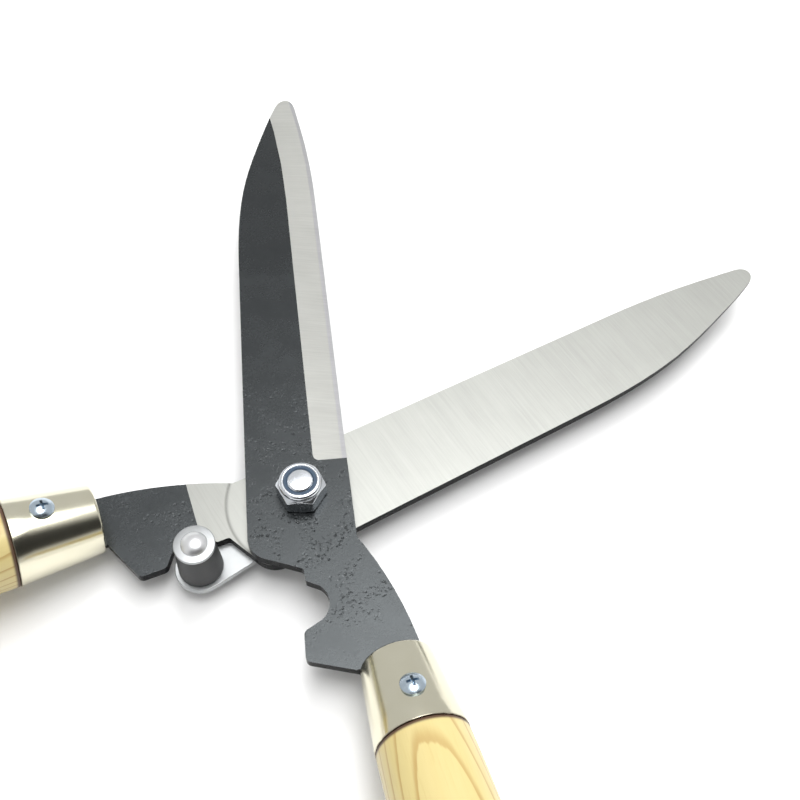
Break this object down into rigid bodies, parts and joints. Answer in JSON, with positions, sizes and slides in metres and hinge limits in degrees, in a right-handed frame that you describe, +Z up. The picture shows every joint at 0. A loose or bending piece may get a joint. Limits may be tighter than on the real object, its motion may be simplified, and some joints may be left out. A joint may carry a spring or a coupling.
{
  "type": "hedge shears",
  "caption": "Hand hedge shears: forged blades that cross on a bolted pivot, a rubber buffer on a bracket, and turned wooden handles held by screwed ferrules.",
  "frame": {"origin": "on the pivot axis, in the underside of the bolt's head", "axes": "+Z up the pivot bolt; +Y halves the angle between the open blades, towards the tips; +X to the right of the tips, where the upper half's handle lies"},
  "size_m": [0.5418, 0.481, 0.0914],
  "materials": {
    "upper_blade_steel": "black forged finish with a bright ground bevel",
    "lower_blade_steel": "ground inner face, black tang",
    "ferrule_plating": "warm nickel plating",
    "varnished_wood": "clear satin varnish",
    "zinc_plating": "bright zinc plating",
    "nylon": "dark blue nylon",
    "buffer_rubber": "black moulded rubber"
  },
  "bodies": {
    "lower_half": {"lower_blade": "lower_blade_steel", "lower_ferrule": "ferrule_plating", "lower_handle": "varnished_wood", "lower_screw": "zinc_plating", "pivot_bolt": "zinc_plating", "lock_nut": "zinc_plating", "nut_insert": "nylon", "buffer_bracket": "zinc_plating", "rubber_buffer": "buffer_rubber", "buffer_washer": "zinc_plating", "buffer_rivet": "zinc_plating"},
    "upper_half": {"upper_blade": "upper_blade_steel", "upper_ferrule": "ferrule_plating", "upper_handle": "varnished_wood", "upper_screw": "zinc_plating"}
  },
  "joints": [
    {"name": "pivot", "type": "hinge", "parent": "lower_half", "child": "upper_half", "pos_m": [0, 0, 0.0133], "axis": [0, 0, 1], "range_deg": [-58, 66]}
  ]
}
